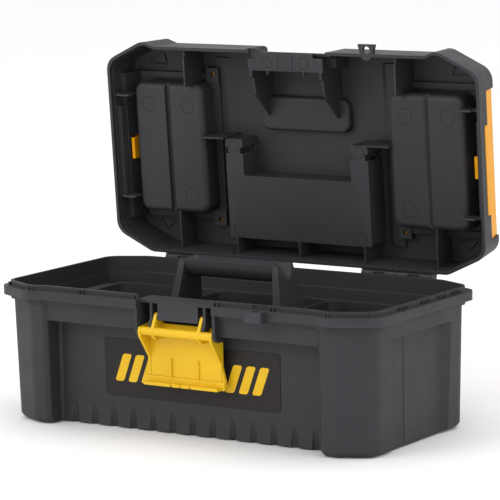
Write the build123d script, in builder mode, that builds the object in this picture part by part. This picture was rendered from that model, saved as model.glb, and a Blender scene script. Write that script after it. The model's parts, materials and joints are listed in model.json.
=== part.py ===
"""Moulded plastic carpenter's toolbox, lid swung open and front latch hanging open.

Axes: +X along the length to the right, +Y to the back, +Z up, millimetres. The origin is under the
middle of the box, on the surface that it stands on. The lid and everything on it are drawn shut and
then swung open about the hinge pins.
"""
import math
import os

from build123d import *

os.makedirs("parts", exist_ok=True)

# Overall rim outline, shared by the tub and the lid
length = 320.0
width = 160.0
corner_x = 31.3
corner_y = 14.9
rim_radius = 12.0
front_radius = 12.0
step_gap = 3.9
step_run = 8.0
body_step = 117.2
body_run = 3.0
setback = 2.9
wall = 2.3

# Tub heights
pad_height = 1.0
floor_top = 3.6
flute_top = 17.0
foot_round = 4.4
panel_top = 76.0
side_recess_top = 79.0
ledge_z = 89.5
skirt_bottom = 91.5
flange_bottom = 95.8
rim_z = 98.0
ridge_top = 101.5

# Tub wall insets from the rim edge
foot_inset = 8.4
shoulder_inset = 6.3
band_inset = 4.3
ridge_inset = 4.4
mouth_inset = 6.4
skirt_thick = 2.0

# Recesses in the tub walls
panel_y = -56.5
panel_half = 114.0
panel_wall = 3.8
recess_flare = 2.5
side_depth = 4.5
side_half = 33.0
side_flare = 13.5
pillar_radius = 2.4
recess_round = 2.5
end_round = 6.0
rear_panel_y = 66.5
rear_half = 84.0
flute_count = 13
flute_pitch = 17.0
flute_radius = 3.0
flute_depth = 3.0

# Latch bay on the tub front
bay_half = 31.6
bay_flange_y = -71.8
cheek_thick = 2.3
cheek_front_y = -76.0
cheek_bottom = 72.0
lug_x = 22.5
lug_thick = 2.2
tongue_half = 17.0
tongue_bottom = 84.0

# Latch
latch_y = -73.0
latch_z = 76.0
latch_bar_radius = 3.1
latch_bore_radius = 3.2
latch_half = 31.0
latch_lip_half = 33.6
latch_back = 11.2
latch_thick = 2.2
latch_drop = 39.0
lip_reach = 2.5

# Lid, drawn shut
lid_gap = 0.6
lid_rim = rim_z + lid_gap
lid_shoulder = 126.0
lid_top = 129.6
side_lean = 1.2
end_lean = 4.0
side_bevel = 3.2
end_bevel = 6.2
sunken_x = (65.0, 69.2, 78.8)
sunken_depth = 2.0
lid_open = 86.25
deck_under = 106.6
deck = 108.6
ceiling = lid_top - wall

# Hinge
hinge_y = 83.4
hinge_z = 100.6
knuckle_radius = 3.0
pin_radius = 1.5
pin_bore_radius = 1.55
knuckle_inner = 58.8
knuckle_split = (84.2, 86.7)
knuckle_outer = 114.1
eye_thick = 2.0
eye_gap = 0.25

# Organiser bins and their covers
bin_inner_x = 80.5
bin_outer_x = 142.3
bin_y = 1.0
bin_half_y = 49.0
cover_inner_x = 79.3
cover_front_y = -51.3
cover_back_y = 54.4
cover_top = 130.4
cover_thick = 2.2
cover_seat = 127.6
cover_edge_x = 150.6
cover_foot_x = 157.6
cover_foot_z = 113.0
pull_foot_z = 107.0
pull_front_y = -27.3
pull_back_y = 36.8
cover_gap = 0.5
cover_hinge_x = 80.5
cover_hinge_z = 127.6
cover_barrel_radius = 2.8
cover_barrel_reach = 4.4
cover_pin_radius = 1.1
cover_pin_bore_radius = 1.15
cover_pin_reach = 1.3
hinge_groove = (77.3, 84.5, 125.4)

# Carry handle and its well
well_half = 61.6
well_front_y = 18.6
well_back_y = 66.1
arm_inner_x = 46.5
arm_front_y = -8.5
grip_leg = 9.0
grip_half = 58.6
grip_front_y = 43.0
grip_back_y = 60.0
grip_bottom = 111.0
grip_top = 129.2
handle_pivot_y = 0.0
handle_pivot_z = 121.5
trunnion_radius = 3.0
trunnion_bore_radius = 3.1

# Tote tray
tray_half = 140.0
tray_front_y = -50.5
tray_back_y = 56.5
tray_bottom = 40.0
tray_top = 84.0
tray_wall = 2.0
tray_lip = 5.0
tray_lip_z = 82.0
tote_y = 2.4
tote_half_y = 9.35
tote_flat_z = 113.0
tote_top = 117.0
bar_half = 42.3
scoop_radius = 8.0
scoop_z = 118.6
divider_x = 47.0

# Front label
label_half = 74.3
label_bottom = 23.5
label_top = 65.0
label_thick = 0.4

# Padlock eye
eye_x = 69.5
eye_y = -79.5
eye_bore_radius = 3.1
eye_half = 7.0
eye_front_y = -83.8
eye_back_y = -72.2
eye_plate = 3.0
eye_notch = 5.6

hinge_axis = Axis((0, hinge_y, hinge_z), (1, 0, 0))


def rim_points(inset, ends, body):
    """Corners of the eight-sided rim moved inward by inset, its two ends by a further amount."""
    turn = math.atan2(corner_y, corner_x)
    end_x = length / 2 - inset - ends
    side_y = width / 2 - inset
    across = math.sin(turn) * length / 2 + math.cos(turn) * (width / 2 - corner_y)
    reach = across - inset - ends / 2
    cut_x = (reach - math.cos(turn) * side_y) / math.sin(turn)
    cut_y = (reach - math.sin(turn) * end_x) / math.cos(turn)
    step = body_step if body else cut_x - step_gap
    run = body_run if body else step_run
    right = [
        (0, side_y),
        (cut_x, side_y),
        (end_x, cut_y),
        (end_x, -cut_y),
        (cut_x, -side_y),
        (step, -side_y),
        (step - run, -side_y + setback),
    ]
    left = [(-x, y) for x, y in reversed(right) if x]
    return right + left


def rim_face(z, inset, ends=0.0, body=False):
    """Level face inside the rim outline, with its eight main corners rounded."""
    points = rim_points(inset, ends, body)
    cut_x = points[1][0]
    with BuildSketch(Plane.XY.offset(z)) as outline:
        with BuildLine():
            Polyline(*points, close=True)
        make_face()
        fillet([v for v in outline.vertices() if abs(v.X) > cut_x + 1], rim_radius)
        fillet([v for v in outline.vertices() if abs(abs(v.X) - cut_x) < 0.01], front_radius)
    return outline.sketch.face()


def side_plane(x):
    """Plane across the length at x: its own x runs to the back and its own y runs up."""
    return Plane(origin=(x, 0, 0), x_dir=(0, 1, 0), z_dir=(1, 0, 0))


def front_plane(y):
    """Plane along the length at y: its own x runs to the left, its own y runs up."""
    return Plane(origin=(0, y, 0), x_dir=(-1, 0, 0), z_dir=(0, 1, 0))


def block(x, y, z):
    """Plain box between two x, two y and two z values."""
    with BuildPart() as made:
        with Locations(((x[0] + x[1]) / 2, (y[0] + y[1]) / 2, (z[0] + z[1]) / 2)):
            Box(abs(x[1] - x[0]), abs(y[1] - y[0]), abs(z[1] - z[0]))
    return made.part


def plan_prism(points, z0, z1, radius=0.0, rounded=None):
    """Upright prism over a plan outline, its upright edges rounded (all, or those that rounded picks)."""
    with BuildPart() as made:
        with BuildSketch(Plane.XY.offset(z0)) as plan:
            Polygon(*points, align=None)
            if radius:
                fillet([v for v in plan.vertices() if rounded is None or rounded(v)], radius)
        extrude(amount=z1 - z0)
    return made.part


def cross_prism(points, x0, x1):
    """Prism along the length over a (y, z) outline."""
    with BuildPart() as made:
        with BuildSketch(side_plane(x0)):
            Polygon(*points, align=None)
        extrude(amount=x1 - x0)
    return made.part


def padlock_eye(z0, z1):
    """Plate for the padlock, straight along its front and narrowing towards the box."""
    points = [
        (eye_x - eye_half, eye_front_y),
        (eye_x + eye_half, eye_front_y),
        (eye_x + 5.2, -77.0),
        (eye_x + 3.9, -74.2),
        (eye_x + 1.6, eye_back_y),
        (eye_x - 1.6, eye_back_y),
        (eye_x - 3.9, -74.2),
        (eye_x - 5.2, -77.0),
    ]
    return plan_prism(points, z0, z1)


def tub_recesses(grow, panel_skin):
    """The wall recesses as solids, made larger by grow to leave a wall behind each of them."""
    shapes = []
    x_deep = panel_half + grow
    y_deep = panel_y + panel_skin
    front = [
        (-x_deep, y_deep),
        (x_deep, y_deep),
        (x_deep + recess_flare, -width),
        (-x_deep - recess_flare, -width),
    ]
    shapes.append(plan_prism(front, -5, panel_top + grow, recess_round, lambda v: abs(v.Y) < width - 1))
    x_deep = rear_half + grow
    y_deep = rear_panel_y - grow
    rear = [
        (-x_deep, y_deep),
        (-x_deep - recess_flare, width),
        (x_deep + recess_flare, width),
        (x_deep, y_deep),
    ]
    shapes.append(plan_prism(rear, -5, side_recess_top + grow, recess_round, lambda v: abs(v.Y) < width - 1))
    for side in (1, -1):
        x_deep = length / 2 - shoulder_inset - 1 - side_depth - grow
        end = [
            (side * x_deep, -side_half - grow),
            (side * x_deep, side_half + grow),
            (side * (x_deep + 8), side_half + grow + side_flare),
            (side * (x_deep + 8), -side_half - grow - side_flare),
        ]
        shapes.append(plan_prism(end, -5, side_recess_top + grow, end_round, lambda v: abs(v.X) < x_deep + 1))
    return shapes


def hinge_ring(x0, x1, radius):
    """Round bar along the hinge axis."""
    with BuildPart() as made:
        with BuildSketch(side_plane(x0)):
            with Locations((hinge_y, hinge_z)):
                Circle(radius)
        extrude(amount=x1 - x0)
    return made.part


def knuckle(x0, x1):
    """Tub hinge knuckle: a rounded block that rises behind the rim flange."""
    profile = [
        (79.0, 92.0),
        (82.0, 92.0),
        (hinge_y + knuckle_radius, 97.0),
        (hinge_y + knuckle_radius, hinge_z),
        (hinge_y - knuckle_radius, hinge_z),
        (hinge_y - knuckle_radius, rim_z),
        (79.0, rim_z),
    ]
    slot = (x0 + x1) / 2
    with BuildPart() as made:
        add(cross_prism(profile, x0, x1))
        add(hinge_ring(x0, x1, knuckle_radius))
        add(hinge_ring(x0 - 1, x1 + 1, pin_bore_radius), mode=Mode.SUBTRACT)
        add(
            block((slot - 4.7, slot + 4.7), (hinge_y - 4, hinge_y - 1.9), (hinge_z, hinge_z + 1.6)),
            mode=Mode.SUBTRACT,
        )
    return made.part


# The tub ------------------------------------------------------------------------------------------
with BuildPart() as tub_cavity:
    loft(
        [
            rim_face(floor_top, foot_inset + wall, body=True),
            rim_face(ledge_z, shoulder_inset + wall, body=True),
        ],
        ruled=True,
    )
    for shape in tub_recesses(wall, panel_wall):
        add(shape, mode=Mode.SUBTRACT)
    extrude(rim_face(ledge_z, mouth_inset), amount=ridge_top + 1 - ledge_z)
    add(
        block((-bay_half - wall, bay_half + wall), (-width, panel_y + wall), (40, rim_z)),
        mode=Mode.SUBTRACT,
    )

with BuildPart() as tub_skirt:
    extrude(rim_face(skirt_bottom, 0), amount=rim_z - skirt_bottom)
    extrude(
        rim_face(skirt_bottom, skirt_thick),
        amount=flange_bottom - skirt_bottom,
        mode=Mode.SUBTRACT,
    )

# Envelope that rounds the foot of the tub
with BuildPart() as foot_envelope:
    loft(
        [
            rim_face(pad_height - 1, foot_inset + foot_round + 2.0, body=True),
            rim_face(pad_height + 0.2, foot_inset + foot_round * 0.62, body=True),
            rim_face(pad_height + 1.2, foot_inset + foot_round * 0.25, body=True),
            rim_face(pad_height + 3.6, foot_inset - 0.3, body=True),
            rim_face(skirt_bottom + 2, shoulder_inset - 2.0, body=True),
        ],
        ruled=True,
    )

with BuildPart() as tub_body:
    loft(
        [
            rim_face(pad_height, foot_inset, body=True),
            rim_face(skirt_bottom, shoulder_inset, body=True),
        ],
        ruled=True,
    )
    for shape in tub_recesses(0, 0):
        add(shape, mode=Mode.SUBTRACT)
    # Round the upright edges where the recesses meet the corner pillars
    uprights = [e for e in tub_body.edges() if e.bounding_box().size.Z > 60]
    pillar_edges = [
        e for e in uprights if e.center().Y < -65 and abs(abs(e.center().X) - body_step) < 4
    ]
    fillet(pillar_edges, pillar_radius)
    add(foot_envelope.part, mode=Mode.INTERSECT)

with BuildPart() as base_tub:
    add(tub_body.part)
    # Upper band, flange, down-turned skirt and the ridge that the lid closes over
    extrude(rim_face(ledge_z - 1.0, band_inset, body=True), amount=rim_z - ledge_z + 1.0)
    extrude(rim_face(flange_bottom, 0), amount=rim_z - flange_bottom)
    add(tub_skirt.part)
    extrude(rim_face(rim_z, ridge_inset), amount=ridge_top - rim_z)
    # Latch bay: the band, skirt and flange give way between two cheeks
    add(
        block((-bay_half, bay_half), (-width, panel_y), (60, flange_bottom)),
        mode=Mode.SUBTRACT,
    )
    add(
        block((-bay_half, bay_half), (-width, bay_flange_y), (60, rim_z + 10)),
        mode=Mode.SUBTRACT,
    )
    add(
        block((-bay_half - 2, bay_half + 2), (-width, -50), (rim_z, ridge_top + 1)),
        mode=Mode.SUBTRACT,
    )
    add(
        block((eye_x - eye_notch, eye_x + eye_notch), (-width, -71.7), (rim_z, ridge_top + 1)),
        mode=Mode.SUBTRACT,
    )
    for side in (-1, 1):
        outer = [
            (panel_y + 0.5, cheek_bottom),
            (cheek_front_y + 4.5, cheek_bottom),
            (cheek_front_y + 1.3, cheek_bottom + 1.3),
            (cheek_front_y, cheek_bottom + 4.5),
            (cheek_front_y, rim_z),
            (panel_y + 0.5, rim_z),
        ]
        x0 = side * bay_half
        x1 = side * (bay_half + cheek_thick)
        add(cross_prism(outer, min(x0, x1), max(x0, x1)))
        # Hinge lug of the latch: a hook behind the bar, open to the front
        lug = [
            (bay_flange_y, flange_bottom + 1),
            (bay_flange_y, latch_z + 9.0),
            (latch_y - 0.8, latch_z + 5.4),
            (latch_y - 0.8, latch_z - 2.6),
            (latch_y + 2.0, latch_z - 2.8),
            (latch_y + 5.0, latch_z - 2.0),
            (latch_y + 5.6, latch_z + 4.0),
            (latch_y + 8.0, latch_z + 12.0),
            (latch_y + 8.0, flange_bottom + 1),
        ]
        middle = side * lug_x
        add(cross_prism(lug, middle - lug_thick / 2, middle + lug_thick / 2))
    add(
        block(
            (-tongue_half, tongue_half),
            (bay_flange_y, bay_flange_y + 2),
            (tongue_bottom, rim_z),
        )
    )
    with BuildSketch(side_plane(-bay_half)):
        with Locations((latch_y, latch_z)):
            Circle(latch_bore_radius)
    extrude(amount=2 * bay_half, mode=Mode.SUBTRACT)
    # Padlock tab under the lid's eye
    add(
        plan_prism(
            [
                (eye_x - eye_half, eye_front_y + 0.8),
                (eye_x - eye_half + 0.8, eye_front_y),
                (eye_x + eye_half - 0.8, eye_front_y),
                (eye_x + eye_half, eye_front_y + 0.8),
                (eye_x + eye_half, -76.0),
                (eye_x - eye_half, -76.0),
            ],
            skirt_bottom - 1.2,
            rim_z,
        )
    )
    with BuildSketch(Plane.XY.offset(skirt_bottom - 5)):
        with Locations((eye_x, eye_y)):
            Circle(eye_bore_radius)
    extrude(amount=12, mode=Mode.SUBTRACT)
    # Hollow of the box
    add(tub_cavity.part, mode=Mode.SUBTRACT)
    # Corner pads and a broad pad in the middle, level with each other
    for side_x in (-1, 1):
        for side_y in (-1, 1):
            x = side_x * 129.0
            y = side_y * 58.0
            add(block((x - 6, x + 6), (y - 4, y + 4), (0, pad_height + 0.5)))
    add(plan_prism([(-45, -20), (45, -20), (45, 20), (-45, 20)], 0, pad_height + 0.5, 6.0))
    # Hinge knuckles, two each side
    for x0, x1 in ((knuckle_inner, knuckle_split[0]), (knuckle_split[1], knuckle_outer)):
        add(knuckle(x0, x1))
        add(knuckle(-x1, -x0))
    # Grip flutes along the foot of the front panel, deepest at the bottom
    lean = math.degrees(math.atan2(flute_depth, flute_top))
    flute_plane = Plane(
        origin=(0, panel_y - flute_radius + flute_depth, 0),
        x_dir=(1, 0, 0),
        z_dir=(0, -math.sin(math.radians(lean)), math.cos(math.radians(lean))),
    )
    with BuildSketch(flute_plane.offset(-2)):
        with GridLocations(flute_pitch, 1, flute_count, 1):
            Circle(flute_radius)
    extrude(amount=flute_top + 4, mode=Mode.SUBTRACT)
    # Brackets for the tray, one on each end wall
    for side in (-1, 1):
        add(block((side * 142.5, side * 148.5), (-16, 20), (floor_top - 0.5, tray_lip_z)))

# Short ribs on the flange, in pairs along the front and in combs along the ends
bump_top = rim_z + 2.6
with BuildPart() as rim_ribs:
    front_y = -width / 2 + setback
    for x in (-81.5, -33.6, 33.6, 79.6):
        for shift in (-1.4, 1.4):
            x0 = x + shift - 0.5
            add(block((x0, x0 + 1), (front_y + 2.7, front_y + 4.8), (rim_z - 0.2, bump_top)))
    for side in (-1, 1):
        for shift in (-1.4, 1.4):
            x0 = side * 124.8 + shift - 0.5
            add(block((x0, x0 + 1), (-76.4, -74.6), (rim_z - 0.2, bump_top)))
        add(block((side * 151.6, side * 153.2), (-65.0, -63.2), (rim_z - 0.2, bump_top)))
        for y in (-28.0, 2.0, 25.0, 44.0):
            for shift in (-4.5, -1.5, 1.5, 4.5):
                x0 = side * (length / 2 - 5.0)
                x1 = side * (length / 2 - 3.0)
                y0 = y + shift - 0.5
                add(block((x0, x1), (y0, y0 + 1), (rim_z - 0.2, rim_z + 2.4)))

with BuildPart() as base_whole:
    add(base_tub.part)
    add(rim_ribs.part)

# The label --------------------------------------------------------------------------------------
with BuildPart() as front_label:
    with BuildSketch(front_plane(panel_y - label_thick)) as label_face:
        with Locations((0, (label_bottom + label_top) / 2)):
            Rectangle(2 * label_half, label_top - label_bottom)
        fillet(label_face.vertices().sort_by(Axis.Y)[:2], 4.0)
    extrude(amount=label_thick)

# The latch, hanging open --------------------------------------------------------------------------
plate_y = latch_y + latch_back
with BuildPart() as latch:
    # Plate: straight beside the pivot, widening to the lip
    outline = [
        (-latch_half, latch_z + 4.5),
        (-latch_half, latch_z - 22.0),
        (-latch_lip_half, latch_z - latch_drop + 6.5),
        (-latch_lip_half, latch_z - latch_drop),
        (latch_lip_half, latch_z - latch_drop),
        (latch_lip_half, latch_z - latch_drop + 6.5),
        (latch_half, latch_z - 22.0),
        (latch_half, latch_z + 4.5),
    ]
    with BuildSketch(front_plane(plate_y - latch_thick)):
        Polygon(*outline, align=None)
    extrude(amount=latch_thick)
    # Lip that hooks over the lid
    with BuildSketch(front_plane(latch_y + lip_reach)):
        with Locations((0, latch_z - latch_drop + latch_thick / 2)):
            Rectangle(2 * latch_lip_half - 5, latch_thick)
    extrude(amount=latch_back - lip_reach)
    # Thickened foot behind the lip
    add(
        block(
            (-latch_lip_half, latch_lip_half),
            (plate_y - latch_thick - 1.2, plate_y - 1.0),
            (latch_z - latch_drop, latch_z - latch_drop + 6.0),
        )
    )
    # Side walls, deep beside the pivot and shallow below
    cheek = [
        (plate_y, latch_z + 4.5),
        (latch_y - 2.5, latch_z + 2.8),
        (latch_y - 3.6, latch_z),
        (latch_y - 2.8, latch_z - 4.0),
        (plate_y - latch_thick - 0.6, latch_z - 20.0),
        (plate_y - latch_thick - 0.6, latch_z - latch_drop + 3.0),
        (plate_y, latch_z - latch_drop + 3.0),
    ]
    # Ear beside each lug, rising past the pivot
    ear = [
        (plate_y, latch_z - 6.0),
        (plate_y, latch_z + 4.5),
        (latch_y + 5.4, latch_z + 9.0),
        (latch_y + 4.0, latch_z + 13.0),
        (latch_y + 2.4, latch_z + 12.0),
        (latch_y - 3.1, latch_z + 1.0),
        (latch_y - 3.1, latch_z - 2.0),
        (latch_y + 1.0, latch_z - 6.0),
    ]
    for side in (-1, 1):
        x0 = side * (latch_half - 2.0)
        x1 = side * latch_half
        add(cross_prism(cheek, min(x0, x1), max(x0, x1)))
        x0 = side * 18.2
        x1 = side * 20.6
        add(cross_prism(ear, min(x0, x1), max(x0, x1)))
    # Pivot bar
    with BuildSketch(side_plane(-latch_half)):
        with Locations((latch_y, latch_z)):
            Circle(latch_bar_radius)
    extrude(amount=2 * latch_half)
    # Two stiffening ribs on the inner face
    for x in (-11.5, 11.5):
        add(
            block(
                (x - 0.6, x + 0.6),
                (plate_y - latch_thick - 1.4, plate_y - 1),
                (latch_z - latch_drop + 4, latch_z - 20),
            )
        )
    # Notches in the end of the lip
    for x in (-8.0, 0.0, 8.0):
        add(
            block(
                (x - 1.0, x + 1.0),
                (latch_y + lip_reach - 1, latch_y + lip_reach + 1.2),
                (latch_z - latch_drop - 1, latch_z - latch_drop + 4),
            ),
            mode=Mode.SUBTRACT,
        )


# The lid, drawn shut --------------------------------------------------------------------------------
def cover_profile(grow):
    """Section of the cover seat across the box, pushed into the lid by grow."""
    return [
        (cover_inner_x - cover_gap - grow, cover_seat - grow),
        (cover_edge_x - cover_gap - grow * 0.8, cover_seat - grow),
        (cover_foot_x - 3.0 - grow, cover_foot_z - cover_gap - grow),
        (length, cover_foot_z - cover_gap - grow),
        (length, lid_top + 10),
        (cover_inner_x - cover_gap - grow, lid_top + 10),
    ]


def length_prism(points, y0, y1, side):
    """Prism along Y over an (x, z) outline, on the right for side 1 and on the left for side -1."""
    placed = [(-side * x, z) for x, z in points]
    with BuildPart() as made:
        with BuildSketch(front_plane(y0)):
            Polygon(*placed, align=None)
        extrude(amount=y1 - y0)
    return made.part


def cover_seats(grow):
    """Recesses that take the two covers and their finger pulls."""
    shapes = []
    for side in (-1, 1):
        y0 = cover_front_y - cover_gap - grow
        y1 = cover_back_y + cover_gap + grow
        shapes.append(length_prism(cover_profile(grow), y0, y1, side))
        pull = [
            (cover_foot_x - 3.2 - grow, cover_foot_z + 2),
            (cover_foot_x - 1.8 - grow, pull_foot_z - cover_gap - grow),
            (length, pull_foot_z - cover_gap - grow),
            (length, cover_foot_z + 2),
        ]
        y0 = pull_front_y - cover_gap - grow
        y1 = pull_back_y + cover_gap + grow
        shapes.append(length_prism(pull, y0, y1, side))
        # Groove under the cover's inner edge, which dips as the cover opens
        inner, outer, foot = hinge_groove
        y0 = cover_front_y - cover_gap - grow
        y1 = cover_back_y + cover_gap + grow
        x = (side * (inner - grow), side * (outer + grow))
        shapes.append(block(x, (y0, y1), (foot - grow, lid_top + 10)))
        # Pockets for the cover's two hinge barrels
        x = (side * (inner - grow), side * (outer - 0.8 + grow))
        z = (cover_hinge_z - cover_barrel_radius - 0.4 - grow, lid_top + 10)
        near = cover_barrel_reach + 0.4 + grow
        shapes.append(block(x, (cover_front_y - near, cover_front_y + 2.4 + grow), z))
        shapes.append(block(x, (cover_back_y - 2.4 - grow, cover_back_y + near), z))
    return shapes


def rounded_box(x, y, z0, z1, radius, foot):
    """Box with rounded upright edges and rounded lower edges."""
    with BuildPart() as made:
        with BuildSketch(Plane.XY.offset(z0)) as plan:
            with Locations(((x[0] + x[1]) / 2, (y[0] + y[1]) / 2)):
                RectangleRounded(abs(x[1] - x[0]), abs(y[1] - y[0]), radius)
        extrude(amount=z1 - z0)
        fillet(made.faces().sort_by(Axis.Z)[0].edges(), foot)
    return made.part


def bins(grow, z0):
    """The two organiser bins, with the fold of the centre divider left standing."""
    shapes = []
    for side in (-1, 1):
        x0 = side * (bin_inner_x + wall - grow)
        x1 = side * (bin_outer_x - wall + grow)
        y0 = bin_y - bin_half_y + wall - grow
        y1 = bin_y + bin_half_y - wall + grow
        shapes.append(rounded_box((x0, x1), (y0, y1), z0, lid_top + 5, 5.0 + grow, 3.2 + grow / 2))
    return shapes


def handle_well(grow, z0):
    """U-shaped well for the folded carry handle."""
    outer = well_half - wall + grow
    inner = arm_inner_x + wall - grow
    front = arm_front_y + wall - grow
    bridge = well_front_y + wall - grow
    back = well_back_y - wall + grow
    points = [
        (-outer, front),
        (-inner, front),
        (-inner, bridge),
        (inner, bridge),
        (inner, front),
        (outer, front),
        (outer, back),
        (-outer, back),
    ]
    return plan_prism(points, z0, lid_top + 5, 1.5)


def latch_cut(grow):
    """Room for the upper half of the closed latch in the front of the lid."""
    points = [
        (-width, lid_rim - 5),
        (-76.0 + grow, lid_rim - 5),
        (-76.0 + grow, 100.6),
        (-73.6 + grow, 111.6 - grow),
        (-66.4 + grow, 112.2 - grow),
        (-63.0 + grow, lid_top + 5),
        (-width, lid_top + 5),
    ]
    return cross_prism(points, -34.6 - grow, 34.6 + grow)


def finger_groove(grow, z0):
    """Shallow rounded trough across the top, in front of the handle."""
    return rounded_box(
        (-36 - grow, 36 + grow), (-37 - grow, -16 + grow), z0, lid_top + 5, 5.0 + grow, 2.5
    )


def sunken_zone(z0, side):
    """Strip beside a cover, where the lid's top lies lower than in the middle."""
    edge, foot, far = sunken_x
    points = [(edge, z0 + sunken_depth), (foot, z0), (far, z0), (far, z0 + 20), (edge, z0 + 20)]
    return length_prism(points, -66, 68, side)


# Thin ribs and other details that stand in the hollow of the lid
with BuildPart() as lid_ribs:
    rib = 0.65
    top = ceiling + 0.5
    for x in (-91.0, 91.0):
        add(block((x - rib, x + rib), (-width / 2, bin_y - bin_half_y + 1), (lid_rim + 2, top)))
    for x in (-106.5, 116.0):
        add(block((x - rib, x + rib), (bin_y + bin_half_y - 1, width / 2), (lid_rim + 8, top)))
    for x in (-54.0, 0.5, 56.5):
        add(block((x - rib, x + rib), (well_back_y - 1, width / 2), (lid_rim + 5.5, top)))
    for side in (-1, 1):
        for y in (-39.0, 38.6):
            x = (side * (bin_outer_x - 1), side * length / 2)
            add(block(x, (y - rib, y + rib), (lid_rim, cover_foot_z - 3)))
        x = (side * (well_half - 1), side * (bin_inner_x + 1))
        add(block(x, (-9.2 - rib, -9.2 + rib), (lid_rim + 4, top)))
        # Gusset behind each end of the catch plate
        gusset = [
            (-66.0, lid_rim),
            (-57.0, lid_rim),
            (-56.0, lid_rim + 2.4),
            (-44.0, lid_rim + 4.2),
            (-25.5, lid_rim + 21.5),
            (-23.0, top),
            (-66.0, top),
        ]
        x0 = side * 29.0
        x1 = side * 30.8
        add(cross_prism(gusset, min(x0, x1), max(x0, x1)))
        # Beads along the front and back edges of the cover seat
        x = (side * hinge_groove[0], side * (bin_outer_x + 4))
        seat_front = cover_front_y - cover_gap - wall
        seat_back = cover_back_y + cover_gap + wall
        add(block(x, (seat_front, seat_front + 4.6), (cover_seat - wall - 1.9, top)))
        add(block(x, (seat_back - 4.6, seat_back), (cover_seat - wall - 1.9, top)))

# Triangular grooves in the four corners of the ceiling
with BuildPart() as corner_grooves:
    corners = (
        ((-143.5, -60.0), (-126.5, -69.5), (-122.5, -59.0)),
        ((143.5, -60.0), (126.5, -69.5), (122.5, -59.0)),
        ((122, 60), (141.5, 59.4), (131.6, 68.9)),
        ((-122, 60), (-141.5, 59.4), (-131.6, 68.9)),
    )
    for corner in corners:
        with BuildSketch(Plane.XY.offset(ceiling - 0.1)) as mark:
            Polygon(*corner, align=None)
            fillet(mark.vertices(), 1.5)
            offset(amount=-1.6, mode=Mode.SUBTRACT)
        extrude(amount=1.2)

with BuildPart() as lid_cavity:
    loft(
        [
            rim_face(lid_rim - 1, wall),
            rim_face(lid_shoulder, side_lean + wall, end_lean - side_lean),
            rim_face(ceiling, side_lean + wall + 0.8, end_lean - side_lean + 0.4),
        ],
        ruled=True,
    )
    for side in (-1, 1):
        add(sunken_zone(ceiling - sunken_depth, side), mode=Mode.SUBTRACT)
    for shape in cover_seats(wall):
        add(shape, mode=Mode.SUBTRACT)
    for shape in bins(wall, deck_under):
        add(shape, mode=Mode.SUBTRACT)
    add(handle_well(wall, deck_under), mode=Mode.SUBTRACT)
    add(latch_cut(wall), mode=Mode.SUBTRACT)
    add(finger_groove(wall, 121.4), mode=Mode.SUBTRACT)
    add(lid_ribs.part, mode=Mode.SUBTRACT)
    add(corner_grooves.part)

# Room over the tub's ridge and its short ribs, cut through every rib of the lid
with BuildPart() as ridge_room:
    extrude(rim_face(lid_rim - 1, wall + 0.1), amount=4.4)
    extrude(rim_face(lid_rim - 1, mouth_inset + 1.2), amount=4.4, mode=Mode.SUBTRACT)

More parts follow.
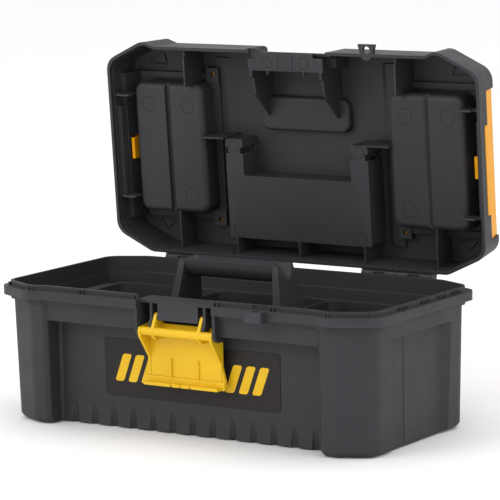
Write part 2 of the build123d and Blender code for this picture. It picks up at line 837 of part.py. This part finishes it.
with BuildPart() as lid_shut:
    loft(
        [
            rim_face(lid_rim, 0),
            rim_face(lid_shoulder, side_lean, end_lean - side_lean),
            rim_face(lid_top, side_bevel, end_bevel - side_bevel),
        ],
        ruled=True,
    )
    for side in (-1, 1):
        add(sunken_zone(lid_top - sunken_depth, side), mode=Mode.SUBTRACT)
    for shape in cover_seats(0):
        add(shape, mode=Mode.SUBTRACT)
    add(lid_cavity.part, mode=Mode.SUBTRACT)
    add(ridge_room.part, mode=Mode.SUBTRACT)
    for shape in bins(0, deck):
        add(shape, mode=Mode.SUBTRACT)
    add(handle_well(0, deck), mode=Mode.SUBTRACT)
    add(latch_cut(0), mode=Mode.SUBTRACT)
    add(finger_groove(0, 123.6), mode=Mode.SUBTRACT)
    # Catch plate across the latch bay, with a tab at its left end and a step at its right end
    tab = [(-32, -75), (-32, -78.4), (-22.5, -78.4), (-19, -75)]
    add(block((-32, 32), (-76.0, -62.0), (lid_rim, lid_rim + 2.0)))
    add(plan_prism(tab, lid_rim, lid_rim + 2.0))
    add(block((-31, -25.4), (-77.4, -70.8), (lid_rim - 1, lid_rim + 1.5)), mode=Mode.SUBTRACT)
    add(block((24, 32.1), (-76.2, -72.4), (lid_rim - 1, lid_rim + 2.1)), mode=Mode.SUBTRACT)
    # Two low ribs on the plate and two teeth along its back edge
    for x in (-7.4, 4.9):
        add(block((x - 0.9, x + 0.9), (-73.9, -63.4), (lid_rim - 0.5, lid_rim + 0.5)))
    for x in (-15.6, 15.7):
        add(block((x - 0.6, x + 0.6), (-63.0, -59.2), (lid_rim, lid_rim + 2.0)))
    # Pockets over the tub's short ribs beside the latch bay
    for x in (-33.6, 33.6):
        add(
            block((x - 2.4, x + 2.4), (-74.9, -71.9), (lid_rim - 1, bump_top + 0.4)),
            mode=Mode.SUBTRACT,
        )
    # Divider that halves each bin, over the fold seen from below
    for side in (-1, 1):
        y0 = bin_y - bin_half_y + 1.5
        y1 = bin_y + bin_half_y - 1.5
        add(block((side * 108.3, side * 114.9), (y0, y1), (deck - 0.5, 111.2)))
        add(block((side * 110.6, side * 112.6), (y0, y1), (deck - 0.5, 122)))
        fold = [
            (109.3, deck_under - 1),
            (109.3, deck_under),
            (111.6, deck_under + 2.4),
            (113.9, deck_under + 2.4),
            (113.9, deck_under - 1),
        ]
        y0 = bin_y - bin_half_y - 1
        y1 = bin_y + bin_half_y + 1
        add(length_prism(fold, y0, y1, side), mode=Mode.SUBTRACT)
        # Slot for the cover's snap, wider at the top where the snap swings out
        for outer_x, z0 in ((150.6, 100), (152.8, 114.5)):
            add(
                block((side * 146.6, side * outer_x), (-6.0, 13.0), (z0, lid_top)),
                mode=Mode.SUBTRACT,
            )
        # Bores for the cover's hinge pins, and a sight hole under each barrel
        bore_y = cover_barrel_reach + cover_pin_reach + 0.3
        for y0, y1 in ((cover_front_y - bore_y, cover_front_y), (cover_back_y, cover_back_y + bore_y)):
            with BuildSketch(front_plane(y0)):
                with Locations((-side * cover_hinge_x, cover_hinge_z)):
                    Circle(cover_pin_bore_radius)
            extrude(amount=y1 - y0, mode=Mode.SUBTRACT)
        for y in (cover_front_y - 2.4, cover_back_y + 2.4):
            add(
                block((side * 79.0, side * 82.0), (y - 1.5, y + 1.5), (118, cover_hinge_z)),
                mode=Mode.SUBTRACT,
            )
        # Slots in the arms of the well, from below up to the trunnion bores
        for x0, x1 in ((arm_inner_x, arm_inner_x + wall), (well_half - wall, well_half)):
            add(
                block(
                    (side * (x0 - 0.1), side * (x1 + 0.1)),
                    (handle_pivot_y - 2.3, handle_pivot_y + 2.3),
                    (deck_under - 1, handle_pivot_z),
                ),
                mode=Mode.SUBTRACT,
            )
    # Bores for the handle's trunnions
    with BuildSketch(side_plane(-well_half - 1)):
        with Locations((handle_pivot_y, handle_pivot_z)):
            Circle(trunnion_bore_radius)
    extrude(amount=2 * well_half + 2, mode=Mode.SUBTRACT)
    # Padlock eye: a plate level with the rim, with its bore
    add(padlock_eye(lid_rim, lid_rim + eye_plate))
    with BuildSketch(Plane.XY.offset(lid_rim - 1)):
        with Locations((eye_x, eye_y)):
            Circle(eye_bore_radius)
    extrude(amount=eye_plate + 2, mode=Mode.SUBTRACT)
    # Hinge eyes that fit between and beside the knuckles
    eye_starts = (
        knuckle_inner - eye_gap - eye_thick,
        knuckle_split[0] + eye_gap,
        knuckle_outer + eye_gap,
    )
    for start in eye_starts:
        for x0 in (start, -start - eye_thick):
            arm = [
                (77.0, lid_rim + 0.4),
                (hinge_y - 1, lid_rim + 0.4),
                (hinge_y, hinge_z + knuckle_radius),
                (77.0, hinge_z + knuckle_radius + 3),
            ]
            add(cross_prism(arm, x0, x0 + eye_thick))
            add(hinge_ring(x0, x0 + eye_thick, knuckle_radius))
    for x0 in (knuckle_inner - 4, -knuckle_outer - 4):
        add(hinge_ring(x0, x0 + 64, pin_bore_radius), mode=Mode.SUBTRACT)


# Organiser cover, drawn shut ------------------------------------------------------------------------
def organiser_cover(side):
    """Flat cover that wraps over the end of the lid, with a pull, a snap and two hinge pins."""
    skin = cover_top - cover_thick
    section = [
        (cover_inner_x, skin),
        (cover_inner_x, cover_top - 1.2),
        (cover_inner_x + 1.0, cover_top),
        (cover_edge_x + 0.4, cover_top),
        (cover_edge_x + 2.4, cover_top - 1.8),
        (cover_foot_x, cover_foot_z),
        (cover_foot_x - 2.2, cover_foot_z),
        (cover_edge_x, skin),
    ]
    pull = [
        (cover_foot_x, cover_foot_z),
        (cover_foot_x + 1.4, pull_foot_z),
        (cover_foot_x - 0.8, pull_foot_z),
        (cover_foot_x - 2.2, cover_foot_z),
        (cover_foot_x - 1.4, cover_foot_z + 3),
        (cover_foot_x - 0.8, cover_foot_z + 3),
    ]
    with BuildPart() as made:
        add(length_prism(section, cover_front_y, cover_back_y, side))
        add(length_prism(pull, pull_front_y, pull_back_y, side))
        # Snap tongue with its hook
        add(block((side * 147.4, side * 149.2), (-4.5, 11.5), (110.5, skin + 0.5)))
        add(block((side * 147.4, side * 150.0), (-4.5, 11.5), (110.5, 112.5)))
        # Hinge barrel and pin at both ends of the inner edge
        for end, way in ((cover_front_y, -1), (cover_back_y, 1)):
            reaches = (
                (cover_barrel_radius, cover_barrel_reach),
                (cover_pin_radius, cover_barrel_reach + cover_pin_reach),
            )
            for radius, reach in reaches:
                y0 = min(end - way * 2.0, end + way * reach)
                y1 = max(end - way * 2.0, end + way * reach)
                with BuildSketch(front_plane(y0)):
                    with Locations((-side * cover_hinge_x, cover_hinge_z)):
                        Circle(radius)
                extrude(amount=y1 - y0)
    return made.part


# Carry handle, drawn folded down --------------------------------------------------------------------
with BuildPart() as handle_folded:
    leg_in = grip_half - grip_leg
    for side in (-1, 1):
        profile = [
            (handle_pivot_y - 2.0, handle_pivot_z - 5.0),
            (handle_pivot_y + 3.0, handle_pivot_z - 5.5),
            (grip_front_y, grip_bottom + 3.0),
            (grip_back_y - 2, grip_bottom + 3.0),
            (grip_back_y - 2, grip_top),
            (handle_pivot_y + 15.0, grip_top - 0.2),
            (handle_pivot_y + 9.5, handle_pivot_z + 5.6),
            (handle_pivot_y, handle_pivot_z + 5.6),
            (handle_pivot_y - 3.4, handle_pivot_z + 4.2),
            (handle_pivot_y - 5.5, handle_pivot_z),
        ]
        x0 = side * leg_in
        x1 = side * grip_half
        add(cross_prism(profile, min(x0, x1), max(x0, x1)))
        with BuildSketch(side_plane(min(side * leg_in, side * (grip_half + 2.4)))):
            with Locations((handle_pivot_y, handle_pivot_z)):
                Circle(trunnion_radius)
        extrude(amount=grip_leg + 2.4)
    with BuildSketch(side_plane(-grip_half)) as grip:
        with Locations(((grip_front_y + grip_back_y) / 2, (grip_bottom + grip_top) / 2)):
            RectangleRounded(grip_back_y - grip_front_y, grip_top - grip_bottom, 5.0)
    extrude(amount=2 * grip_half)

# Tote tray ----------------------------------------------------------------------------------------
def tote_leg(side):
    """Leg of the tray's handle: upright at the bar and splayed towards the tray."""
    stations = (
        (tray_top - 4, 41.5, 48.6, 16.4),
        (87.0, 40.6, 47.3, 15.3),
        (110.0, 37.9, 43.0, 11.2),
        (tote_top - 1.5, 37.5, 42.3, 9.6),
    )
    faces = []
    for z, x0, x1, half_y in stations:
        with BuildSketch(Plane.XY.offset(z)) as leg:
            with Locations((side * (x0 + x1) / 2, tote_y)):
                Rectangle(x1 - x0, 2 * half_y)
        faces.append(leg.sketch.face())
    with BuildPart() as made:
        loft(faces, ruled=True)
    return made.part


def tote_bar(reach, radius, top, x0):
    """Bar of the tray's handle: flat on top, round below."""
    with BuildPart() as made:
        with BuildSketch(side_plane(x0)) as bar:
            with Locations((tote_y, tote_flat_z)):
                Circle(radius)
            with Locations((tote_y, tote_flat_z + radius)):
                Rectangle(2 * radius + 1, 2 * radius, mode=Mode.SUBTRACT)
            with Locations((tote_y, (tote_flat_z + top) / 2)):
                Rectangle(2 * radius, top - tote_flat_z)
        extrude(amount=reach)
    return made.part


with BuildPart() as tray_body:
    middle_y = (tray_front_y + tray_back_y) / 2
    depth_y = tray_back_y - tray_front_y
    with BuildSketch(Plane.XY.offset(tray_bottom)):
        with Locations((0, middle_y)):
            RectangleRounded(2 * tray_half - 6, depth_y - 4, 12)
    with BuildSketch(Plane.XY.offset(tray_top)):
        with Locations((0, middle_y)):
            RectangleRounded(2 * tray_half, depth_y, 12)
    loft()

with BuildPart() as tote_tray:
    add(tray_body.part)
    # Lip that rests on the end brackets
    add(
        block(
            (-tray_half - tray_lip, tray_half + tray_lip),
            (tray_front_y + 14, tray_back_y - 14),
            (tray_lip_z, tray_top),
        )
    )
    # Three wells side by side
    wells = (
        (-tray_half + 5, -divider_x - 1.5),
        (divider_x + 1.5, tray_half - 5),
        (-divider_x + 1.5, divider_x - 1.5),
    )
    for x0, x1 in wells:
        add(
            rounded_box(
                (x0, x1),
                (tray_front_y + 3, tray_back_y - 3),
                tray_bottom + tray_wall,
                tray_top + 1,
                8.0,
                3.0,
            ),
            mode=Mode.SUBTRACT,
        )
    # Pillars in the dividers, the splayed legs on them and the bar
    for side in (-1, 1):
        x0 = side * (divider_x - 6)
        x1 = side * (divider_x + 6)
        add(block((x0, x1), (tote_y - 17, tote_y + 17), (tray_bottom + 1, tray_top - 2)))
        add(tote_leg(side))
    add(tote_bar(2 * bar_half, tote_half_y, tote_top, -bar_half))
    # Scoop at each end of the bar, sloping down to the outside
    for side in (-1, 1):
        with Locations(Location((side * bar_half, tote_y, scoop_z), (0, -45 * side, 0))):
            Cylinder(scoop_radius, 40, mode=Mode.SUBTRACT)


# Write every piece ----------------------------------------------------------------------------------
def swung_open(shape):
    """A piece of the lid, turned about the hinge pins from shut to open."""
    return shape.rotate(hinge_axis, -lid_open)


def write(shape, name):
    """Label a finished piece and export it."""
    shape.label = name
    export_step(shape, f"parts/{name}.step")


write(base_whole.part, "base_tub")
write(front_label.part, "front_label")
write(latch.part, "front_latch")
write(tote_tray.part, "tote_tray")
write(swung_open(lid_shut.part), "lid_shell")
write(swung_open(handle_folded.part), "carry_handle")
write(swung_open(organiser_cover(-1)), "organiser_cover_left")
write(swung_open(organiser_cover(1)), "organiser_cover_right")
pin_end = knuckle_outer + eye_gap + eye_thick
pin_start = knuckle_inner - eye_gap - eye_thick
write(hinge_ring(-pin_end, -pin_start, pin_radius), "hinge_pin_left")
write(hinge_ring(pin_start, pin_end, pin_radius), "hinge_pin_right")
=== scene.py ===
"""Looks for the carpenter's toolbox: materials, fine detail, studio, camera."""
import json
from math import cos, radians, sin

import bmesh
import bpy
from mathutils import Matrix, Vector


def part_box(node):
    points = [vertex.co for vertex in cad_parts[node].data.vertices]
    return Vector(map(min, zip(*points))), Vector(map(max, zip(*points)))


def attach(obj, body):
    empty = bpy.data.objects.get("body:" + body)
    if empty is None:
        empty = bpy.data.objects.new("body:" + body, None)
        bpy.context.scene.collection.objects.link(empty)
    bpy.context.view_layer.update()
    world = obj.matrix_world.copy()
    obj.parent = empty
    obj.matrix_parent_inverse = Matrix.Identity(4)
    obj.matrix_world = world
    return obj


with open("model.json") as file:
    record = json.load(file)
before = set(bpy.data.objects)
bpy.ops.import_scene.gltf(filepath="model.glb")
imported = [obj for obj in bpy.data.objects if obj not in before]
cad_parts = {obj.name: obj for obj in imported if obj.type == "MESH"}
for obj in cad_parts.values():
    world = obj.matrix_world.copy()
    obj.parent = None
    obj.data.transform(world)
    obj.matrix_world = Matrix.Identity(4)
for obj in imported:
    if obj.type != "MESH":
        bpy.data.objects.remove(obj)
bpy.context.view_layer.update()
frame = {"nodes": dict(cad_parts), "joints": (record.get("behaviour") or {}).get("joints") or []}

# Everything on the lid is placed as if it were shut and then swung open about the hinge pins
LID_OPEN = radians(-86.25)
hinge = next(joint for joint in frame["joints"] if joint["name"] == "lid_hinge")
HINGE_POINT = Vector(hinge["pos_m"])
SWING = (
    Matrix.Translation(HINGE_POINT)
    @ Matrix.Rotation(LID_OPEN, 4, "X")
    @ Matrix.Translation(-HINGE_POINT)
)

# Colours, linear
CHARCOAL = (0.0245, 0.0258, 0.0290)
BLACK = (0.0185, 0.0190, 0.0210)
AMBER = (0.76, 0.47, 0.010)
# The covers' colour: more orange than AMBER, partly the covers' own deeper hue and partly painted
# shade
SHADED_ORANGE = (0.80, 0.34, 0.006)
LABEL_INK = (0.0135, 0.0108, 0.0098)
PRINT_YELLOW = (0.78, 0.47, 0.01)
FLOOR = (0.94, 0.94, 0.945)

# Scales of the noise (higher is finer) and heights of the relief in metres
FLOW_SCALE = 14.0
SPECKLE_SCALE = 1400.0
GRAIN_SCALE, GRAIN_HEIGHT = 2600.0, 0.00004
WAVE_SCALE, WAVE_HEIGHT, WAVE_STRENGTH = 9.0, 0.0006, 0.12
BRIGHT_FLOW_SCALE = 18.0
BRIGHT_GRAIN_SCALE, BRIGHT_GRAIN_HEIGHT = 1500.0, 0.00002
INK_SCALE = 320.0
PEEL_SCALE, PEEL_HEIGHT = 700.0, 0.00002
PAPER_SCALE = 40.0
# Radii of the softened edges, in metres, and how finely they are sampled
BODY_EDGE, BRIGHT_EDGE = 0.0006, 0.0005
EDGE_SAMPLES = 6
# Range of the pointiness over which convex edges are painted lighter as a painted edge highlight,
# and how much lighter
EDGE_SHEEN_FROM, EDGE_SHEEN_TO, EDGE_SHEEN_LIGHT = 0.54, 0.66, 1.45


# Materials ------------------------------------------------------------------------------
def shaded(colour, amount):
    """The colour made darker (amount < 1) or lighter (amount > 1), with alpha."""
    return tuple(min(1.0, channel * amount) for channel in colour) + (1.0,)


class Recipe:
    """A node material under construction, on a Principled shader."""

    def __init__(self, name):
        self.material = bpy.data.materials.new(name)
        self.material.use_nodes = True
        self.tree = self.material.node_tree
        self.shader = self.tree.nodes["Principled BSDF"]
        coordinates = self.tree.nodes.new("ShaderNodeTexCoord")
        self.place = coordinates.outputs["Object"]

    def join(self, output, socket):
        self.tree.links.new(output, socket)

    def noise(self, scale, detail=2.0, roughness=0.5):
        node = self.tree.nodes.new("ShaderNodeTexNoise")
        node.inputs["Scale"].default_value = scale
        node.inputs["Detail"].default_value = detail
        node.inputs["Roughness"].default_value = roughness
        self.join(self.place, node.inputs["Vector"])
        return node.outputs["Fac"]

    def ramp(self, value, low, high, start=0.35, end=0.65):
        node = self.tree.nodes.new("ShaderNodeValToRGB")
        node.color_ramp.elements[0].position = start
        node.color_ramp.elements[0].color = low
        node.color_ramp.elements[1].position = end
        node.color_ramp.elements[1].color = high
        self.join(value, node.inputs["Fac"])
        return node.outputs["Color"]

    def band(self, value, low, high, start=0.3, end=0.7):
        node = self.tree.nodes.new("ShaderNodeMapRange")
        node.inputs["From Min"].default_value = start
        node.inputs["From Max"].default_value = end
        node.inputs["To Min"].default_value = low
        node.inputs["To Max"].default_value = high
        self.join(value, node.inputs["Value"])
        return node.outputs["Result"]

    def blend(self, amount, first, second):
        node = self.tree.nodes.new("ShaderNodeMix")
        node.data_type = "RGBA"
        if isinstance(amount, float):
            node.inputs["Factor"].default_value = amount
        else:
            self.join(amount, node.inputs["Factor"])
        for value, socket in ((first, node.inputs["A"]), (second, node.inputs["B"])):
            if isinstance(value, tuple):
                socket.default_value = value
            else:
                self.join(value, socket)
        return node.outputs["Result"]

    def rounded_edges(self, radius):
        """Shading normal that rounds every sharp edge by a small radius."""
        node = self.tree.nodes.new("ShaderNodeBevel")
        node.samples = EDGE_SAMPLES
        node.inputs["Radius"].default_value = radius
        return node.outputs["Normal"]

    def bump(self, height, distance, strength, under=None):
        node = self.tree.nodes.new("ShaderNodeBump")
        node.inputs["Distance"].default_value = distance
        node.inputs["Strength"].default_value = strength
        self.join(height, node.inputs["Height"])
        if under is not None:
            self.join(under, node.inputs["Normal"])
        return node.outputs["Normal"]


def moulded_plastic(name, colour, roughness, grain, gloss):
    """Textured polypropylene: fine grain, faint flow marks, convex edges painted a little lighter
    as a painted edge highlight.
    """
    recipe = Recipe(name)
    flow = recipe.ramp(recipe.noise(FLOW_SCALE, 4.0), shaded(colour, 0.93), shaded(colour, 1.07))
    specks = recipe.noise(SPECKLE_SCALE, 2.0)
    speckle = recipe.ramp(specks, shaded(colour, 0.86), shaded(colour, 1.14))
    mixed = recipe.blend(0.4, flow, speckle)
    geometry = recipe.tree.nodes.new("ShaderNodeNewGeometry")
    # Convex edges, found by pointiness, are painted lighter: a painted edge highlight
    edge = recipe.band(geometry.outputs["Pointiness"], 0.0, 1.0, EDGE_SHEEN_FROM, EDGE_SHEEN_TO)
    edge_sheen = recipe.blend(edge, mixed, shaded(colour, EDGE_SHEEN_LIGHT))
    recipe.join(edge_sheen, recipe.shader.inputs["Base Color"])
    rough = recipe.band(recipe.noise(60.0, 3.0), roughness - 0.05, roughness + 0.05)
    recipe.join(rough, recipe.shader.inputs["Roughness"])
    edges = recipe.rounded_edges(BODY_EDGE)
    fine = recipe.bump(recipe.noise(GRAIN_SCALE, 2.0, 0.6), GRAIN_HEIGHT, grain, edges)
    wave = recipe.bump(recipe.noise(WAVE_SCALE, 2.0), WAVE_HEIGHT, WAVE_STRENGTH, fine)
    recipe.join(wave, recipe.shader.inputs["Normal"])
    recipe.shader.inputs["Specular IOR Level"].default_value = gloss
    return recipe.material


def bright_plastic(name, colour, gloss):
    """Smooth translucent-looking polypropylene with slight flow marks."""
    recipe = Recipe(name)
    streaks = recipe.noise(BRIGHT_FLOW_SCALE, 4.0)
    flow = recipe.ramp(streaks, shaded(colour, 0.94), shaded(colour, 1.05))
    recipe.join(flow, recipe.shader.inputs["Base Color"])
    rough = recipe.band(recipe.noise(80.0, 3.0), 0.30, 0.40)
    recipe.join(rough, recipe.shader.inputs["Roughness"])
    edges = recipe.rounded_edges(BRIGHT_EDGE)
    fine = recipe.bump(recipe.noise(BRIGHT_GRAIN_SCALE, 2.0), BRIGHT_GRAIN_HEIGHT, 0.5, edges)
    recipe.join(fine, recipe.shader.inputs["Normal"])
    recipe.shader.inputs["Specular IOR Level"].default_value = gloss
    recipe.shader.inputs["Subsurface Weight"].default_value = 0.08
    recipe.shader.inputs["Subsurface Radius"].default_value = (1.0, 0.45, 0.1)
    recipe.shader.inputs["Subsurface Scale"].default_value = 0.004
    return recipe.material


def printed_film(name, colour, roughness):
    """Printed label film: even ink with a faint orange-peel gloss."""
    recipe = Recipe(name)
    ink = recipe.ramp(recipe.noise(INK_SCALE, 3.0), shaded(colour, 0.96), shaded(colour, 1.04))
    recipe.join(ink, recipe.shader.inputs["Base Color"])
    rough = recipe.band(recipe.noise(90.0, 3.0), roughness - 0.04, roughness + 0.04)
    recipe.join(rough, recipe.shader.inputs["Roughness"])
    peel = recipe.bump(recipe.noise(PEEL_SCALE, 1.0), PEEL_HEIGHT, 0.6)
    recipe.join(peel, recipe.shader.inputs["Normal"])
    recipe.shader.inputs["Specular IOR Level"].default_value = 0.3
    return recipe.material


def studio_floor():
    """Seamless paper, nearly white."""
    recipe = Recipe("studio_floor")
    paper = recipe.ramp(recipe.noise(PAPER_SCALE, 4.0), shaded(FLOOR, 0.99), shaded(FLOOR, 1.0))
    recipe.join(paper, recipe.shader.inputs["Base Color"])
    recipe.shader.inputs["Roughness"].default_value = 0.9
    return recipe.material


body_plastic = moulded_plastic("body_plastic", CHARCOAL, 0.55, 0.55, 0.35)
black_plastic = moulded_plastic("black_plastic", BLACK, 0.50, 0.45, 0.35)
yellow = bright_plastic("amber_plastic", AMBER, 0.28)
# The covers' copy of the yellow plastic: its deeper orange is partly the covers' own hue and
# partly painted shade
orange = bright_plastic("shaded_orange_plastic", SHADED_ORANGE, 0.05)
label_film = printed_film("label_film", LABEL_INK, 0.50)
print_yellow = printed_film("print_yellow", PRINT_YELLOW, 0.50)


# CAD nodes ------------------------------------------------------------------------------
FINISHES = {
    "base_tub": body_plastic,
    "lid_shell": body_plastic,
    "hinge_pin_left": body_plastic,
    "hinge_pin_right": body_plastic,
    "carry_handle": black_plastic,
    "tote_tray": body_plastic,
    "front_latch": yellow,
    # The covers take the orange copy, whose deeper orange is partly painted shade
    "organiser_cover_left": orange,
    "organiser_cover_right": orange,
    "front_label": label_film,
}
for node, material in FINISHES.items():
    piece = frame["nodes"][node]
    piece.data.materials.clear()
    piece.data.materials.append(material)
    for polygon in piece.data.polygons:
        polygon.material_index = 0


# Fine detail ----------------------------------------------------------------------------
def add_mesh(name, shape, material, body, smooth=False):
    """A new piece, made from a bmesh, that rides on a body."""
    mesh = bpy.data.meshes.new(name)
    bmesh.ops.recalc_face_normals(shape, faces=shape.faces)
    shape.to_mesh(mesh)
    shape.free()
    mesh.materials.append(material)
    for polygon in mesh.polygons:
        polygon.use_smooth = smooth
    piece = bpy.data.objects.new(name, mesh)
    bpy.context.scene.collection.objects.link(piece)
    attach(piece, body)
    return piece


def add_prism(shape, outline, low, high):
    """Joins a straight prism to the bmesh: two copies of an outline and the walls between them."""
    rings = [[shape.verts.new(place(corner)) for corner in outline] for place in (low, high)]
    shape.faces.new(rings[0])
    shape.faces.new(reversed(rings[1]))
    for index in range(len(outline)):
        after = (index + 1) % len(outline)
        shape.faces.new((rings[0][index], rings[1][index], rings[1][after], rings[0][after]))


# Printed bars across the label, slanted, with their corners nipped off
label_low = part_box("front_label")[0]
BAR_LOW, BAR_HIGH = 0.0345, 0.0545
BAR_WIDTH, BAR_PITCH, BAR_SLANT = 0.0074, 0.0112, 0.0075
BAR_STARTS = (-0.0655, 0.0285)
BAR_COUNT = 3
PRINT_DEPTH = 0.00012
CORNER = 0.0012


def bar_outline(x):
    height = BAR_HIGH - BAR_LOW
    corners = []
    for across, up in ((0, 0), (1, 0), (1, 1), (0, 1)):
        corners.append(Vector((x + across * BAR_WIDTH + up * BAR_SLANT, BAR_LOW + up * height)))
    outline = []
    for index, corner in enumerate(corners):
        before = corners[index - 1] - corner
        after = corners[(index + 1) % 4] - corner
        outline.append(corner + before.normalized() * CORNER)
        outline.append(corner + after.normalized() * CORNER)
    return outline


bars = bmesh.new()
print_back = label_low[1] + PRINT_DEPTH
print_front = label_low[1] - PRINT_DEPTH
for start in BAR_STARTS:
    for number in range(BAR_COUNT):
        add_prism(
            bars,
            bar_outline(start + number * BAR_PITCH),
            lambda corner: (corner.x, print_back, corner.y),
            lambda corner: (corner.x, print_front, corner.y),
        )
add_mesh("label_bars", bars, print_yellow, "base")

# Round marks of the ejector pins, as fine raised rings on the inside of the lid
RING_SIDES = 40
RING_HALF = 0.00022
RING_HEIGHT = 0.00016
DECK = 0.1066
PLATE = 0.0986
EJECTORS = (
    (-0.0541, -0.0034, DECK, 0.0040),
    (0.0541, -0.0034, DECK, 0.0040),
    (-0.0535, 0.0600, DECK, 0.0044),
    (0.0535, 0.0600, DECK, 0.0044),
    (0.0945, -0.0320, DECK, 0.0056),
    (0.1290, -0.0320, DECK, 0.0056),
    (-0.0945, -0.0320, DECK, 0.0056),
    (-0.1290, -0.0320, DECK, 0.0056),
    (0.0945, 0.0360, DECK, 0.0056),
    (-0.0945, 0.0360, DECK, 0.0056),
    (-0.0154, -0.0685, PLATE, 0.0042),
    (0.0160, -0.0685, PLATE, 0.0042),
)


def add_ring(shape, x, y, z, radius):
    """Joins a flat ring of triangular section, pointing down, on a level face of the shut lid."""
    section = ((radius - RING_HALF, 0.0), (radius, RING_HEIGHT), (radius + RING_HALF, 0.0))
    loops = []
    for index in range(RING_SIDES):
        turn = radians(360.0 * index / RING_SIDES)
        loop = []
        for reach, drop in section:
            point = Vector((x + reach * cos(turn), y + reach * sin(turn), z - drop))
            loop.append(shape.verts.new(SWING @ point))
        loops.append(loop)
    for index in range(RING_SIDES):
        here, there = loops[index], loops[(index + 1) % RING_SIDES]
        for corner in range(len(section)):
            after = (corner + 1) % len(section)
            shape.faces.new((here[corner], here[after], there[after], there[corner]))


rings = bmesh.new()
for mark in EJECTORS:
    add_ring(rings, *mark)
add_mesh("ejector_marks", rings, body_plastic, "lid", smooth=True)


# Studio ---------------------------------------------------------------------------------
FLOOR_HALF = 15.0
WORLD_STRENGTH = 1.03
LIGHT_TARGET = (0.0, 0.03, 0.12)
# Name, place, size and power of each soft light
LIGHTS = (
    ("key", (-1.1, -1.9, 1.5), (1.4, 1.0), 12.0),
    ("side", (2.2, -0.6, 0.9), (1.2, 1.2), 5.0),
    ("top", (0.1, 0.2, 1.9), (1.8, 1.2), 6.0),
)
# Camera: where it stands around the box, in degrees, and how its view is shifted, in metres
CAMERA_AZIMUTH, CAMERA_ELEVATION, CAMERA_ROLL = 33.598, 8.636, -1.211
CAMERA_TARGET = (0.0, 0.0, 0.1)
SHIFT_RIGHT, SHIFT_UP, CAMERA_DISTANCE = 0.011083, 0.024456, 2.168
SENSOR_WIDTH, FOCAL_LENGTH, CLIP_END = 36.0, 219.0, 50.0


def area_light(name, place, target, size, power):
    light = bpy.data.lights.new(name, "AREA")
    light.shape = "RECTANGLE"
    light.size = size[0]
    light.size_y = size[1]
    light.energy = power
    holder = bpy.data.objects.new(name, light)
    holder.location = place
    aim = Vector(target) - Vector(place)
    holder.rotation_euler = aim.to_track_quat("-Z", "Y").to_euler()
    bpy.context.scene.collection.objects.link(holder)


def build_studio():
    sheet = bmesh.new()
    bmesh.ops.create_grid(sheet, x_segments=1, y_segments=1, size=FLOOR_HALF)
    mesh = bpy.data.meshes.new("floor")
    sheet.to_mesh(mesh)
    sheet.free()
    mesh.materials.append(studio_floor())
    floor = bpy.data.objects.new("floor", mesh)
    bpy.context.scene.collection.objects.link(floor)
    world = bpy.data.worlds.new("studio")
    world.use_nodes = True
    background = world.node_tree.nodes["Background"]
    background.inputs["Color"].default_value = (1.0, 1.0, 1.0, 1.0)
    background.inputs["Strength"].default_value = WORLD_STRENGTH
    bpy.context.scene.world = world
    bpy.context.scene.view_settings.view_transform = "Standard"
    for light_name, place, size, power in LIGHTS:
        area_light(light_name, place, LIGHT_TARGET, size, power)


def build_camera():
    """Long-lens camera off the front right corner, a little above the box."""
    azimuth, elevation = radians(CAMERA_AZIMUTH), radians(CAMERA_ELEVATION)
    roll = radians(CAMERA_ROLL)
    target = Vector(CAMERA_TARGET)
    back = Vector((sin(azimuth) * cos(elevation), -cos(azimuth) * cos(elevation), sin(elevation)))
    level = Vector((cos(azimuth), sin(azimuth), 0.0))
    upright = back.cross(level)
    right = cos(roll) * level + sin(roll) * upright
    up = cos(roll) * upright - sin(roll) * level
    eye = target + right * SHIFT_RIGHT + up * SHIFT_UP + back * CAMERA_DISTANCE
    camera = bpy.data.cameras.new("camera")
    camera.sensor_width = SENSOR_WIDTH
    camera.lens = FOCAL_LENGTH
    camera.clip_end = CLIP_END
    holder = bpy.data.objects.new("camera", camera)
    holder.matrix_world = Matrix((
        (right.x, up.x, back.x, eye.x),
        (right.y, up.y, back.y, eye.y),
        (right.z, up.z, back.z, eye.z),
        (0.0, 0.0, 0.0, 1.0),
    ))
    bpy.context.scene.collection.objects.link(holder)
    bpy.context.scene.camera = holder


build_studio()
build_camera()
